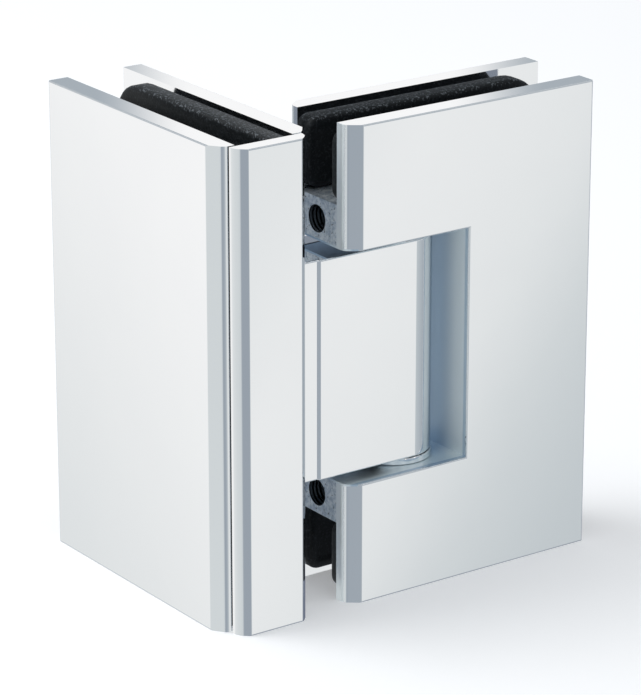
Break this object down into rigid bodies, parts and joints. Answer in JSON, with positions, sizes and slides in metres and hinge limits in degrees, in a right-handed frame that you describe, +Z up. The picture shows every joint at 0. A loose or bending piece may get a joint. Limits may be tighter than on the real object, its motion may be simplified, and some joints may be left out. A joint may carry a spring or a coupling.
{
  "type": "glass door hinge",
  "caption": "Right-angle glass-to-glass shower door hinge: bevelled chromed plates clamp both panels on rubber, and the door leaf swings both ways on a self-centring pivot.",
  "frame": {"origin": "middle of the hinge's footprint, at the leaves' lower edges", "axes": "+Z up along the pivot pin, +X from the pin along the door leaf, +Y along the fixed leaf towards its glass"},
  "size_m": [0.0808, 0.0578, 0.09],
  "materials": {
    "polished_chrome": "mirror-polished chrome plating on brass",
    "gasket_rubber": "matt black-grey sheet rubber",
    "screw_steel": "satin stainless steel",
    "pin_steel": "ground steel",
    "bearing_brass": "machined",
    "spring_steel": "oiled spring steel",
    "black_steel": "black-oxide alloy steel"
  },
  "bodies": {
    "fixed_leaf": {"fixed_outer_plate": "polished_chrome", "hinge_body": "polished_chrome", "fixed_inner_plate": "polished_chrome", "fixed_outer_gasket": "gasket_rubber", "fixed_inner_gasket": "gasket_rubber", "fixed_clamp_screws": "screw_steel", "body_screws": "screw_steel", "upper_bush": "bearing_brass", "lower_bush": "bearing_brass", "upper_spring": "spring_steel", "lower_spring": "spring_steel", "upper_spring_plug": "screw_steel", "lower_spring_plug": "screw_steel"},
    "door_leaf": {"door_front_plate": "polished_chrome", "door_back_plate": "polished_chrome", "door_front_gasket": "gasket_rubber", "door_back_gasket": "gasket_rubber", "door_clamp_screws": "screw_steel", "pivot_pin": "pin_steel", "upper_set_screw": "black_steel", "lower_set_screw": "black_steel", "upper_thrust_washer": "polished_chrome", "lower_thrust_washer": "polished_chrome"},
    "upper_plunger_body": {"upper_plunger": "pin_steel"},
    "lower_plunger_body": {"lower_plunger": "pin_steel"}
  },
  "joints": [
    {"name": "door_swing", "type": "hinge", "parent": "fixed_leaf", "child": "door_leaf", "pos_m": [0.00315, -0.0179, 0.045], "axis": [0, 0, 1], "range_deg": [-90, 90]},
    {"name": "upper_plunger_slide", "type": "slide", "parent": "fixed_leaf", "child": "upper_plunger_body", "axis": [1, 0, 0], "range_m": [0, 0.001], "stiffness_N_per_m": 1000, "springref_m": 0.006, "deforming": ["upper_spring"]},
    {"name": "lower_plunger_slide", "type": "slide", "parent": "fixed_leaf", "child": "lower_plunger_body", "axis": [1, 0, 0], "range_m": [0, 0.001], "stiffness_N_per_m": 1000, "springref_m": 0.006, "deforming": ["lower_spring"]}
  ]
}
